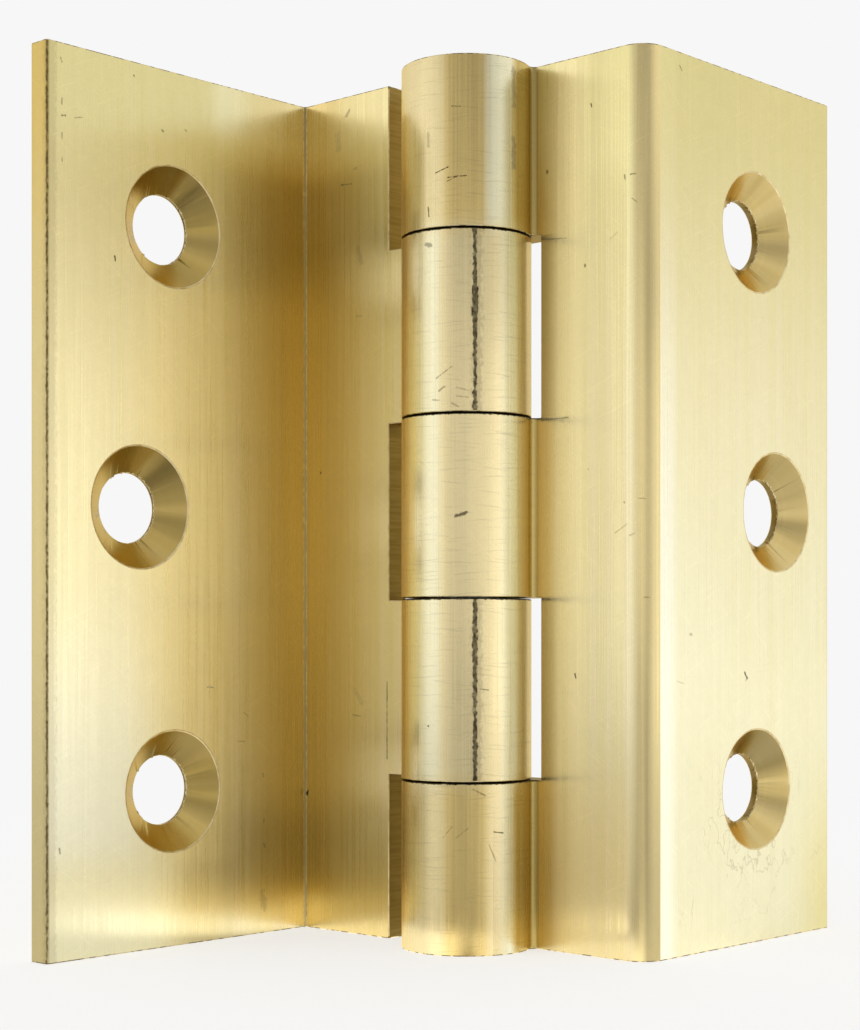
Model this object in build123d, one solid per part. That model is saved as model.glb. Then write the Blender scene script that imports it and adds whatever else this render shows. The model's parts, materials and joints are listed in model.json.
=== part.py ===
"""Cranked butt hinge: two L-shaped leaves that nest when shut, turning on one pin.

The hinge stands on its end, opened flat. Sizes are in millimetres. +Z runs along the pin,
+X runs from the outer leaf's step to the inner leaf's step, and +Y points from the
countersunk side of the outer leaf's step towards its back. The origin is the middle of the
footprint, on the standing end.
"""
from build123d import *
from math import isclose, radians, tan
import os

# Barrel and pin
hinge_height = 64.0
barrel_diameter = 9.5
pin_diameter = 4.8
pin_running_clearance = 0.05
pin_end_recess = 0.2
pin_end_chamfer = 0.4
end_knuckle_length = 12.3
knuckle_gap = 0.2

# Inner leaf: its step is tangent to the back of the barrel
inner_thickness = 2.2
inner_step_reach = 14.4
inner_flange_length = 23.7
inner_slot_clearance = 0.17

# Outer leaf: it wraps round the inner leaf with an even gap
outer_thickness = 1.9
outer_flange_length = 24.7
outer_slot_clearance = 2.1
nesting_gap = 1.5

# Edges shared by both leaves
outside_corner_radius = 1.8
inside_corner_radius = 0.3
barrel_root_radius = 0.4
free_edge_radius = 0.25
end_edge_chamfer = 0.12

# Countersunk screw holes, the middle one set nearer to the free edge
screw_hole_diameter = 5.1
countersink_diameter = 8.9
countersink_angle = 100.0
screw_spacing = 41.3
inner_end_screw_to_edge = 10.0
inner_middle_screw_to_edge = 7.3
outer_end_screw_to_edge = 11.4
outer_middle_screw_to_edge = 8.3

# Worked out from the sizes above
barrel_radius = barrel_diameter / 2
pin_radius = pin_diameter / 2
knuckle_count = 5
middle_knuckle_length = (hinge_height - 2 * end_knuckle_length) / (knuckle_count - 2)

inner_back_y = barrel_radius
inner_face_y = inner_back_y - inner_thickness
inner_face_x = inner_step_reach
inner_seat_x = inner_face_x - inner_thickness
inner_tip_y = inner_face_y + inner_flange_length
inner_slot_x = barrel_radius + inner_slot_clearance

outer_face_y = nesting_gap - inner_face_y
outer_back_y = outer_face_y + outer_thickness
outer_face_x = -(inner_face_x + nesting_gap)
outer_seat_x = outer_face_x - outer_thickness
outer_tip_y = outer_face_y - outer_flange_length
outer_slot_x = -(barrel_radius + outer_slot_clearance)

pin_x = -(outer_seat_x + inner_face_x) / 2
pin_y = -(outer_tip_y + inner_tip_y) / 2


def nearest(corners, points):
    """The corners that lie nearest to the given points."""
    return [corners.sort_by_distance(Vector(*point))[0] for point in points]


def leaf_section(face_x, seat_x, face_y, back_y, tip_y):
    """Plan of a leaf: an L-shaped plate that grows out of the barrel."""
    outline = [
        (0, face_y),
        (face_x, face_y),
        (face_x, tip_y),
        (seat_x, tip_y),
        (seat_x, back_y),
        (0, back_y),
    ]
    section = make_face(Polyline(*outline, close=True)) + Circle(barrel_radius)
    side = 1 if face_x > 0 else -1
    roots = [
        (side * (barrel_radius**2 - y**2) ** 0.5, y)
        for y in (face_y, back_y)
        if abs(y) < barrel_radius
    ]
    crank_corners = [(face_x, face_y), (seat_x, back_y)]
    crank_corners.sort(key=lambda corner: abs(corner[0]))
    inside_corner, outside_corner = crank_corners
    section = fillet(nearest(section.vertices(), roots), barrel_root_radius)
    section = fillet(nearest(section.vertices(), [outside_corner]), outside_corner_radius)
    section = fillet(nearest(section.vertices(), [inside_corner]), inside_corner_radius)
    free_corners = [(face_x, tip_y), (seat_x, tip_y)]
    return fillet(nearest(section.vertices(), free_corners), free_edge_radius)


def knuckle_span(index):
    """Lower and upper level of one place along the barrel, joint middle to joint middle."""
    low = 0 if index == 0 else end_knuckle_length + (index - 1) * middle_knuckle_length
    last = knuckle_count - 1
    high = hinge_height if index == last else end_knuckle_length + index * middle_knuckle_length
    return low, high


def knuckle_slot(index, slot_x):
    """Block that is milled out of a leaf to let the other leaf's knuckle in."""
    low, high = knuckle_span(index)
    low -= knuckle_gap / 2
    high += knuckle_gap / 2
    barrel_side = -barrel_diameter if slot_x > 0 else barrel_diameter
    size = (abs(slot_x - barrel_side), 2 * barrel_diameter, high - low)
    return Pos((slot_x + barrel_side) / 2, 0, (low + high) / 2) * Box(*size)


def screw_hole(face_x, seat_x, y, z):
    """Plain hole through a flange, with a countersink in its face."""
    face = Plane(origin=(face_x, y, z), x_dir=(0, 1, 0), z_dir=(face_x - seat_x, 0, 0))
    depth = abs(face_x - seat_x)
    hole_radius = screw_hole_diameter / 2
    sink_radius = countersink_diameter / 2
    sink_depth = (sink_radius - hole_radius) / tan(radians(countersink_angle / 2))
    drill = Pos(0, 0, -depth / 2) * Cylinder(hole_radius, 2 * depth)
    sink = Pos(0, 0, -sink_depth / 2) * Cone(hole_radius, sink_radius, sink_depth)
    return face * (drill + sink)


def leaf(section, slots, slot_x, bore_radius, holes):
    """Leaf cut from a length of its section: slotted, bored for the pin and drilled."""
    blank = extrude(section, hinge_height)
    for index in slots:
        blank -= knuckle_slot(index, slot_x)
    blank -= Pos(0, 0, hinge_height / 2) * Cylinder(bore_radius, 2 * hinge_height)
    for hole in holes:
        blank -= hole
    knuckle_rims = [
        edge
        for edge in blank.edges().filter_by(GeomType.CIRCLE)
        if isclose(edge.radius, barrel_radius)
    ]
    levels = blank.edges().group_by(Axis.Z)
    return chamfer({*levels[0], *levels[-1], *knuckle_rims}, end_edge_chamfer)


def screw_holes(face_x, seat_x, tip_y, end_to_edge, middle_to_edge):
    """The three screw holes of a flange, two in line and the middle one nearer to the edge."""
    inward = 1 if tip_y < 0 else -1
    middle = hinge_height / 2
    places = [
        (end_to_edge, middle - screw_spacing / 2),
        (middle_to_edge, middle),
        (end_to_edge, middle + screw_spacing / 2),
    ]
    return [screw_hole(face_x, seat_x, tip_y + inward * to_edge, z) for to_edge, z in places]


inner_leaf = leaf(
    leaf_section(inner_face_x, inner_seat_x, inner_face_y, inner_back_y, inner_tip_y),
    slots=range(1, knuckle_count, 2),
    slot_x=inner_slot_x,
    bore_radius=pin_radius,
    holes=screw_holes(
        inner_face_x, inner_seat_x, inner_tip_y, inner_end_screw_to_edge, inner_middle_screw_to_edge
    ),
)
outer_leaf = leaf(
    leaf_section(outer_face_x, outer_seat_x, outer_face_y, outer_back_y, outer_tip_y),
    slots=range(0, knuckle_count, 2),
    slot_x=outer_slot_x,
    bore_radius=pin_radius + pin_running_clearance,
    holes=screw_holes(
        outer_face_x, outer_seat_x, outer_tip_y, outer_end_screw_to_edge, outer_middle_screw_to_edge
    ),
)
hinge_pin = Pos(0, 0, hinge_height / 2) * Cylinder(pin_radius, hinge_height - 2 * pin_end_recess)
hinge_pin = chamfer(hinge_pin.edges().filter_by(GeomType.CIRCLE), pin_end_chamfer)

os.makedirs("parts", exist_ok=True)
pieces = {"inner_leaf": inner_leaf, "outer_leaf": outer_leaf, "hinge_pin": hinge_pin}
for name, piece in pieces.items():
    placed = Pos(pin_x, pin_y, 0) * piece
    export_step(placed, f"parts/{name}.step")
    box = placed.bounding_box()
    print(name, "volume", round(placed.volume, 1), "from", box.min, "to", box.max)
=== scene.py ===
# %% [markdown]
# # A cranked hinge in drawn brass
# The object is a heavy door hinge, opened flat and standing on its end. Two L-shaped leaves
# are cut from drawn brass bar, their knuckles interleave round one pin, and each flange has
# three countersunk screw holes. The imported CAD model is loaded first, as a fixed frame:
# everything made later sits exactly where the CAD says.

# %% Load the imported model
import json
import math

import bmesh
import bpy
from mathutils import Matrix, Vector


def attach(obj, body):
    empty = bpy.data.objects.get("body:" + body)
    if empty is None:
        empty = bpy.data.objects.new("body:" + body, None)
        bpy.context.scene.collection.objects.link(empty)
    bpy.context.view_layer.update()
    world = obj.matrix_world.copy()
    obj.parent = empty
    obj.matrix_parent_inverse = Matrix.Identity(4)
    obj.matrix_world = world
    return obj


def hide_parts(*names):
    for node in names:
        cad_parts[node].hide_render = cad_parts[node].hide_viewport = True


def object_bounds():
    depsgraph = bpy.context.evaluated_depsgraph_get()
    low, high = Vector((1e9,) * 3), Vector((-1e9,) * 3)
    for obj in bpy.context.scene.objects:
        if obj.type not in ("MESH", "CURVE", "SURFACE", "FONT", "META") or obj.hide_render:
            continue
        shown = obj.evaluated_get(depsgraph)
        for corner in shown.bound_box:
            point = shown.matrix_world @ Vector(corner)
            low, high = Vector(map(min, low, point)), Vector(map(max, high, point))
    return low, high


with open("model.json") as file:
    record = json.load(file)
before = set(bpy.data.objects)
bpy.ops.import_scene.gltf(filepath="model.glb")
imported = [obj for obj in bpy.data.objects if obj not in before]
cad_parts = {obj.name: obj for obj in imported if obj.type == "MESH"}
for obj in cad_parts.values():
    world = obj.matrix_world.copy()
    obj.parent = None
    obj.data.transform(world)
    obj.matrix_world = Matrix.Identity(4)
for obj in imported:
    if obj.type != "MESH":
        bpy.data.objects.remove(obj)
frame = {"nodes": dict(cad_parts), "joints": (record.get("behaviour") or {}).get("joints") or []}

mm = 0.001
cad_low, cad_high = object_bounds()
hinge_height = cad_high.z - cad_low.z
joint = frame["joints"][0]
pin_axis = Vector(joint["pos_m"])
view_turn = math.radians(42.59)
right = Vector((math.cos(view_turn), math.sin(view_turn), 0))
forward = Vector((-math.sin(view_turn), math.cos(view_turn), 0))
print("hinge", [round(side / mm, 2) for side in cad_high - cad_low], "mm, pin at", pin_axis / mm)

# %% [markdown]
# ## A bench for node trees
# Geometry Nodes and shader nodes are both made in the script. One small class wraps an output
# socket, so that 1 - mask adds its own Math node, and one method adds any other node: its
# settings first, then its sockets. The recipes below then read like sums.

# %% Node bench: wires
class Wire:
    """An output socket that can be used in sums."""

    def __init__(self, bench, socket):
        self.bench = bench
        self.socket = socket

    def math(self, operation, *terms):
        return self.bench.node("ShaderNodeMath", {"operation": operation}, dict(enumerate(terms)))

    def other(self, name):
        """Another output of the same node."""
        return Wire(self.bench, pick(self.socket.node.outputs, name))

    def __add__(self, term):
        return self.math("ADD", self, term)

    def __radd__(self, term):
        return self.math("ADD", term, self)

    def __sub__(self, term):
        return self.math("SUBTRACT", self, term)

    def __rsub__(self, term):
        return self.math("SUBTRACT", term, self)

    def __mul__(self, term):
        return self.math("MULTIPLY", self, term)

    def __rmul__(self, term):
        return self.math("MULTIPLY", term, self)

    def __truediv__(self, term):
        return self.math("DIVIDE", self, term)

    def __rtruediv__(self, term):
        return self.math("DIVIDE", term, self)

    def __pow__(self, term):
        return self.math("POWER", self, term)

    def __rpow__(self, term):
        return self.math("POWER", term, self)

    def __gt__(self, term):
        return self.math("GREATER_THAN", self, term)

    def __lt__(self, term):
        return self.math("LESS_THAN", self, term)

    def __abs__(self):
        return self.math("ABSOLUTE", self)

    def at_most(self, term):
        return self.math("MINIMUM", self, term)

    def at_least(self, term):
        return self.math("MAXIMUM", self, term)

    def rise(self, low, high):
        """0 below low, 1 above high, smooth between; falls where low is the larger."""
        return self.bench.node(
            "ShaderNodeMapRange",
            {"interpolation_type": "SMOOTHSTEP"},
            {"Value": self, "From Min": low, "From Max": high},
        )


print("wires ready")


# %% Node bench: trees
def pick(sockets, key):
    """A socket by place, identifier or name."""
    if isinstance(key, int):
        return sockets[key]
    named = [s for s in sockets if s.identifier == key] + [s for s in sockets if s.name == key]
    return named[0]


class Bench:
    """A node tree under construction."""

    def __init__(self, tree):
        self.tree = tree
        tree.nodes.clear()

    def node(self, kind, settings={}, sockets={}, out=0):
        """Adds one node, settings first, and gives one of its outputs."""
        made = self.tree.nodes.new(kind)
        for name, value in settings.items():
            setattr(made, name, value)
        for key, value in sockets.items():
            socket = pick(made.inputs, key)
            for item in value if isinstance(value, list) else [value]:
                if isinstance(item, Wire):
                    self.tree.links.new(item.socket, socket)
                else:
                    socket.default_value = item
        return Wire(self, pick(made.outputs, out)) if made.outputs else made


print("bench ready for", bpy.app.version_string)

# %% [markdown]
# ## The drawn section
# Brass bar for such a leaf is pulled through a die, so its plan is the same all along its
# length: a round barrel, a step that leaves it, a rounded corner and a flange. The plan is
# written as lines and arcs, with the small fillets where the step meets the barrel. Both
# leaves share one recipe: the outer one is drawn the same way and turned half round the pin.

# %% Plan of a leaf
barrel_radius = 4.75
root_fillet = 0.4
outside_corner = 1.8
inside_corner = 0.3
free_edge = 0.25


def arc(centre, radius, start, end, steps):
    """Points on an arc, in degrees, both ends included."""
    angles = [math.radians(start + (end - start) * i / steps) for i in range(steps + 1)]
    return [(centre[0] + radius * math.cos(a), centre[1] + radius * math.sin(a)) for a in angles]


def root(y, side):
    """Fillet between the barrel and a step face at height y, with the metal on one side."""
    lift = y - side * root_fillet
    centre = (math.sqrt((barrel_radius + root_fillet) ** 2 - lift**2), lift)
    angle = math.degrees(math.atan2(centre[1], centre[0]))
    return centre, angle


def leaf_plan(outside_x, inside_x, outside_y, inside_y, tip_y):
    """Outline of a leaf about the pin, anticlockwise, in millimetres."""
    centre, last_angle = root(outside_y, 1)
    points = arc(centre, root_fillet, last_angle + 180, 90, 6)
    reach = outside_corner
    points += arc((outside_x - reach, outside_y + reach), reach, -90, 0, 16)
    points += arc((outside_x - free_edge, tip_y - free_edge), free_edge, 0, 90, 4)
    points += arc((inside_x + free_edge, tip_y - free_edge), free_edge, 90, 180, 4)
    points += arc((inside_x - inside_corner, inside_y + inside_corner), inside_corner, 0, -90, 5)
    first_angle = 90
    if inside_y < barrel_radius:
        centre, first_angle = root(inside_y, -1)
        points += arc(centre, root_fillet, 270, first_angle + 180, 6)[:-1]
    return points + arc((0, 0), barrel_radius, first_angle, last_angle + 360, 96)[:-1]


inner_plan = leaf_plan(outside_x=14.4, inside_x=12.2, outside_y=2.55, inside_y=4.75, tip_y=26.25)
outer_plan = leaf_plan(outside_x=17.8, inside_x=15.9, outside_y=-0.85, inside_y=1.05, tip_y=25.75)
outer_plan = [(-x, -y) for x, y in outer_plan]
print("plan points", len(inner_plan), len(outer_plan))

# %% [markdown]
# ## The leaf, made as in the workshop
# A leaf is a length of the drawn bar with metal taken away: slots for the other leaf's
# knuckles, a bore for the pin, three drilled and countersunk holes. Geometry Nodes follow
# the same order. The plan is extruded, each kind of cutter is placed by its own sizes, and a
# boolean takes each away in turn. Every face carries a number for the tool that made it, so
# each finish lands where that tool worked.

# %% Tree: cut a leaf from its plan
drawn, sawn, milled, bored, drilled, sunk = range(6)
round_steps = 72


def tree_input(tree, name, kind, value=None):
    """Adds a named input to a tree."""
    socket = tree.interface.new_socket(name, in_out="INPUT", socket_type="NodeSocket" + kind)
    if value is not None:
        socket.default_value = value
    return socket.identifier


def marked(geometry, tool, which=True):
    """Numbers the faces of a solid with the tool that leaves them."""
    return geometry.bench.node(
        "GeometryNodeStoreNamedAttribute",
        {"data_type": "INT", "domain": "FACE"},
        {"Geometry": geometry, "Selection": which, "Name": "tool", "Value": tool},
    )


def vector(bench, x=0.0, y=0.0, z=0.0):
    return bench.node("ShaderNodeCombineXYZ", {}, {"X": x, "Y": y, "Z": z})


leaf_tree = bpy.data.node_groups.new("cut_leaf_from_plan", "GeometryNodeTree")
sizes = ("Height", "Pin X", "Pin Y", "Bore Radius", "Slot Middle X", "Slot Width", "Slot Height")
sizes += ("Slot Pitch", "Face X", "End Hole Y", "Middle Hole Y", "Hole Pitch", "Hole Radius")
sizes += ("Sink Radius", "Sink Slope")
leaf_inputs = {"Plan": tree_input(leaf_tree, "Plan", "Geometry")}
leaf_inputs["Slot Count"] = tree_input(leaf_tree, "Slot Count", "Int", 2)
for size in sizes:
    leaf_inputs[size] = tree_input(leaf_tree, size, "Float", 0.0)
tool_names = ("Drawn", "Sawn", "Milled", "Bored", "Drilled", "Sunk")
for tool_name in tool_names:
    leaf_inputs[tool_name] = tree_input(leaf_tree, tool_name, "Material")
leaf_tree.interface.new_socket("Leaf", in_out="OUTPUT", socket_type="NodeSocketGeometry")
bench = Bench(leaf_tree)
given = bench.node("NodeGroupInput")
print("leaf tree inputs", len(leaf_inputs))

# %% Tree: the bar
height = given.other("Height")
plan = given.other("Plan")
bar_length = vector(bench, z=height)
bar_sizes = {"Mesh": plan, "Offset": bar_length, "Individual": False}
bar = bench.node("GeometryNodeExtrudeMesh", {"mode": "FACES"}, bar_sizes)
capped = marked(marked(bar, drawn), sawn, bar.other("Top"))
base = marked(bench.node("GeometryNodeFlipFaces", {}, {"Mesh": plan}), sawn)
joined = bench.node("GeometryNodeJoinGeometry", {}, {"Geometry": [capped, base]})
weld_gap = 0.001 * mm
blank = bench.node("GeometryNodeMergeByDistance", {}, {"Geometry": joined, "Distance": weld_gap})
print("bar ready to cut, welded within", weld_gap / mm, "mm")


# %% Tree: the slots and the bore
def row(count, pitch, x, y):
    """Points up the leaf, spaced by the pitch and centred on its height."""
    start = (height - pitch * (count - 1)) / 2
    return bench.node(
        "GeometryNodeMeshLine",
        {"mode": "OFFSET"},
        {"Count": count, "Start Location": vector(bench, x, y, start), "Offset": vector(bench, z=pitch)},
    )


def placed(points, cutter, turn=(0.0, 0.0, 0.0)):
    """One cutter at each point, made real."""
    on_points = {"Points": points, "Instance": cutter, "Rotation": turn}
    copies = bench.node("GeometryNodeInstanceOnPoints", {}, on_points)
    return bench.node("GeometryNodeRealizeInstances", {}, {"Geometry": copies})


pin_x = given.other("Pin X")
pin_y = given.other("Pin Y")
through = 20 * mm
slot_size = vector(bench, given.other("Slot Width"), through, given.other("Slot Height"))
slot_block = marked(bench.node("GeometryNodeMeshCube", {}, {"Size": slot_size}), milled)
slot_x = given.other("Slot Middle X")
slots = placed(row(given.other("Slot Count"), given.other("Slot Pitch"), slot_x, pin_y), slot_block)

bore_sizes = {"Vertices": round_steps, "Radius": given.other("Bore Radius"), "Depth": height * 2}
bore_bar = marked(bench.node("GeometryNodeMeshCylinder", {}, bore_sizes), bored)
bore = placed(row(1, 0.0, pin_x, pin_y), bore_bar)
print("cutters: slot, bore")

# %% Tree: the screw holes
along_x = (0.0, math.pi / 2, 0.0)
face_x = given.other("Face X")
hole_line = row(3, given.other("Hole Pitch"), face_x, given.other("End Hole Y"))
place_in_row = bench.node("GeometryNodeInputIndex")
is_middle = abs(place_in_row - 1) < 0.5
shift = vector(bench, y=given.other("Middle Hole Y") - given.other("End Hole Y"))
shifted = {"Geometry": hole_line, "Selection": is_middle, "Offset": shift}
hole_points = bench.node("GeometryNodeSetPosition", {}, shifted)
drill_sizes = {"Vertices": round_steps, "Radius": given.other("Hole Radius"), "Depth": through}
drill_bit = marked(bench.node("GeometryNodeMeshCylinder", {}, drill_sizes), drilled)
drills = placed(hole_points, drill_bit, along_x)
overshoot = 1 * mm
sink_radius = given.other("Sink Radius") + given.other("Sink Slope") * overshoot
sink_length = sink_radius / given.other("Sink Slope")
sink_sizes = {"Vertices": round_steps, "Radius Top": sink_radius, "Radius Bottom": 0.0}
sink_cone = bench.node("GeometryNodeMeshCone", {}, sink_sizes | {"Depth": sink_length})
sink_move = {"Geometry": sink_cone, "Translation": vector(bench, z=overshoot - sink_length)}
sink_seat = bench.node("GeometryNodeTransform", {}, sink_move)
sinks = placed(hole_points, marked(sink_seat, sunk), along_x)
print("cutters: drill, countersink")


# %% Tree: take the cutters away and give each face its finish
def cut(solid, tools):
    return bench.node(
        "GeometryNodeMeshBoolean",
        {"operation": "DIFFERENCE", "solver": "EXACT"},
        {"Mesh 1": solid, "Mesh 2": tools, "Self Intersection": True},
    )


leaf = blank
for cutter in (slots, bore, drills, sinks):
    leaf = cut(leaf, cutter)
leaf = bench.node("GeometryNodeRealizeInstances", {}, {"Geometry": leaf})
tool_number = bench.node("GeometryNodeInputNamedAttribute", {"data_type": "INT"}, {"Name": "tool"})
for number, tool_name in enumerate(tool_names):
    same = abs(tool_number - number) < 0.5
    finish = {"Geometry": leaf, "Selection": same, "Material": given.other(tool_name)}
    leaf = bench.node("GeometryNodeSetMaterial", {}, finish)
bench.node("NodeGroupOutput", {}, {"Leaf": leaf})
print("leaf tree nodes", len(leaf_tree.nodes))

# %% [markdown]
# ## What all the brass finishes share
# Drawn brass is never one colour: the die leaves long faint lines, the metal is yellower in
# one place and rosier in another, and handling adds pits and scratches. All of it is noise
# read at the object's own coordinates, in millimetres, so that it lies still on the metal.
# Stretched noise gives lines, plain noise gives clouds, and cells give pits.

# %% Finish kit: coordinates and noise
def vector_math(bench, operation, sockets, out=0):
    return bench.node("ShaderNodeVectorMath", {"operation": operation}, sockets, out)


def finish_bench(name):
    """A new material with an empty tree, and its surface coordinates in millimetres."""
    material = bpy.data.materials.new(name)
    material.use_nodes = True
    bench = Bench(material.node_tree)
    place = bench.node("ShaderNodeTexCoord", out="Object")
    point = vector_math(bench, "SCALE", {0: place, "Scale": 1 / mm})
    return material, bench, point


def split(point):
    x = point.bench.node("ShaderNodeSeparateXYZ", {}, {0: point})
    return x, x.other("Y"), x.other("Z")


def stretched(point, stretch, shift=0.0):
    shifts = (shift, 0.7 * shift, 1.3 * shift)
    return vector_math(point.bench, "MULTIPLY_ADD", {0: point, 1: stretch, 2: shifts})


def grain(point, stretch, detail=1.0, shift=0.0):
    """Noise about 0.5, with so many waves a millimetre along each axis."""
    sockets = {"Vector": stretched(point, stretch, shift), "Scale": 1.0, "Detail": detail}
    return point.bench.node("ShaderNodeTexNoise", {}, sockets)


def pits(point, stretch, radius, share, shift):
    """Small round pits, one in a share of the cells."""
    sockets = {"Vector": stretched(point, stretch, shift), "Scale": 1.0}
    cell = point.bench.node("ShaderNodeTexVoronoi", {"feature": "F1"}, sockets)
    chance, _, _ = split(cell.other("Color"))
    return cell.rise(radius, 0.5 * radius) * (chance < share)


def from_line(x, y, line):
    """Distance from an upright line through a point of the plan."""
    return ((x - line[0]) ** 2 + (y - line[1]) ** 2) ** 0.5


print("noise kit ready")

# %% Finish kit: colours and the metal itself
brass_glance = (1.0, 0.87, 0.58, 1)
grime = (0.16, 0.11, 0.04, 1)
soot = (0.035, 0.026, 0.012, 1)


def tint(share, first, second):
    """Colour between two, by share."""
    sockets = {"Factor_Float": share, "A_Color": first, "B_Color": second}
    return share.bench.node("ShaderNodeMix", {"data_type": "RGBA"}, sockets, "Result_Color")


def shade(colour, amount):
    """Colour made lighter or darker by a number."""
    return vector_math(amount.bench, "SCALE", {"Vector": colour, "Scale": amount})


def metal(bench, colour, roughness, height, depth, stretch=0.0, edge_tint=brass_glance):
    """Finishes a material: metal with a bump of the given depth in millimetres."""
    bump = bench.node("ShaderNodeBump", {}, {"Strength": 1.0, "Distance": depth * mm, "Height": height})
    sockets = {"Base Color": colour, "Metallic": 1.0, "Roughness": roughness, "Normal": bump}
    sockets["Anisotropic"] = stretch
    sockets["Specular Tint"] = edge_tint
    shader = bench.node("ShaderNodeBsdfPrincipled", {}, sockets)
    bench.node("ShaderNodeOutputMaterial", {}, {"Surface": shader})


print("colour kit ready")

# %% [markdown]
# ## Marks that can be pointed at
# Some marks are single: a knock on a knuckle, a scuff beside it, the run-out of a slot
# cutter. Noise can't put those in place, so each is a short stroke between two points on the
# metal. The distance from the stroke, roughened by noise, gives its ragged outline.

# %% Strokes
def stroke(point, start, end, width, ragged):
    """A short ragged mark between two places, in millimetres."""
    bench = point.bench
    run = Vector(end) - Vector(start)
    away = vector_math(bench, "SUBTRACT", {0: point, 1: start})
    measure = {0: away, 1: tuple(run / max(run.length_squared, 1e-6))}
    along = vector_math(bench, "DOT_PRODUCT", measure, "Value")
    foot = vector_math(bench, "SCALE", {0: tuple(run), "Scale": along.at_least(0.0).at_most(1.0)})
    gap = vector_math(bench, "DISTANCE", {0: away, 1: foot}, "Value")
    return (gap + ragged * width).rise(width, 0.4 * width)


def strokes(point, marks, ragged):
    """All the strokes of a leaf: each row has its two ends, its width and its strength."""
    total = 0.0
    for *ends, width, strength in marks:
        mark = stroke(point, tuple(ends[:3]), tuple(ends[3:]), width, ragged)
        total = (mark * strength).at_least(total)
    return total


print("strokes ready")

# %% Marks of the inner leaf
inner_marks = [
    (2.85, -4.86, 55.6, 3.75, -4.53, 55.95, 0.05, 0.9),
    (3.75, -4.53, 55.2, 4.85, -3.8, 55.3, 0.07, 0.8),
    (3.7, -4.55, 54.95, 4.4, -4.15, 55.3, 0.06, 0.6),
    (4.25, -4.25, 31.2, 4.85, -3.8, 31.45, 0.16, 0.75),
    (2.2, -4.97, 58.5, 2.25, -4.97, 57.6, 0.16, 0.2),
    (2.25, -4.97, 53.2, 2.3, -4.96, 52.6, 0.08, 0.6),
    (6.65, 2.3, 38.3, 9.2, 2.3, 38.35, 0.07, 0.55),
    (6.65, 2.3, 51.4, 9.0, 2.3, 51.2, 0.06, 0.4),
    (14.2, 2.35, 54.9, 14.25, 2.35, 54.5, 0.08, 0.6),
    (9.79, 2.3, 20.0, 9.85, 2.3, 19.75, 0.08, 0.8),
    (16.1, 14.4, 20.0, 16.1, 14.7, 19.6, 0.09, 0.85),
    (16.1, 14.7, 19.6, 16.1, 14.5, 19.4, 0.05, 0.6),
    (16.1, 6.2, 63.0, 16.1, 6.5, 62.7, 0.07, 0.5),
    (5.18, -3.48, 11.85, 5.71, -2.79, 11.4, 0.09, 0.5),
    (3.41, -4.68, 8.4, 4.01, -4.4, 9.2, 0.05, 0.4),
    (4.26, -4.25, 8.4, 4.93, -3.73, 9.1, 0.05, 0.4),
    (6.03, -2.19, 8.8, 6.28, -1.5, 8.7, 0.06, 0.65),
    (5.86, -2.54, 7.9, 6.1, -2.05, 6.7, 0.06, 0.35),
    (4.01, -4.4, 60.25, 4.49, -4.09, 60.2, 0.06, 0.6),
    (6.38, -0.5, 63.2, 6.38, -0.5, 60.6, 0.3, 0.3),
    (6.38, -0.5, 58.2, 6.38, -0.5, 56.2, 0.3, 0.35),
    (13.36, 2.3, 29.93, 14.45, 2.3, 30.55, 0.05, 0.3),
    (14.6, 2.33, 29.7, 14.95, 2.42, 29.87, 0.06, 0.32),
    (15.2, 2.55, 32.3, 15.6, 2.85, 32.27, 0.06, 0.3),
    (15.5, 2.75, 25.4, 15.8, 3.1, 25.4, 0.06, 0.35),
    (10.96, 2.3, 34.55, 11.0, 2.3, 34.5, 0.07, 0.5),
    (14.15, 2.3, 32.07, 14.2, 2.3, 32.0, 0.07, 0.4),
    (11.23, 2.3, 60.4, 11.28, 2.3, 60.2, 0.09, 0.7),
    (14.7, 2.35, 54.89, 15.05, 2.45, 54.91, 0.07, 0.5),
    (14.8, 2.37, 53.2, 15.1, 2.48, 52.95, 0.06, 0.4),
    (12.92, 2.3, 50.61, 13.62, 2.3, 51.01, 0.04, 0.25),
    (16.1, 7.46, 22.85, 16.1, 7.7, 22.8, 0.11, 0.3),
    (16.1, 5.8, 19.53, 16.1, 6.7, 19.33, 0.05, 0.25),
]
print("inner leaf marks", len(inner_marks))

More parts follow.
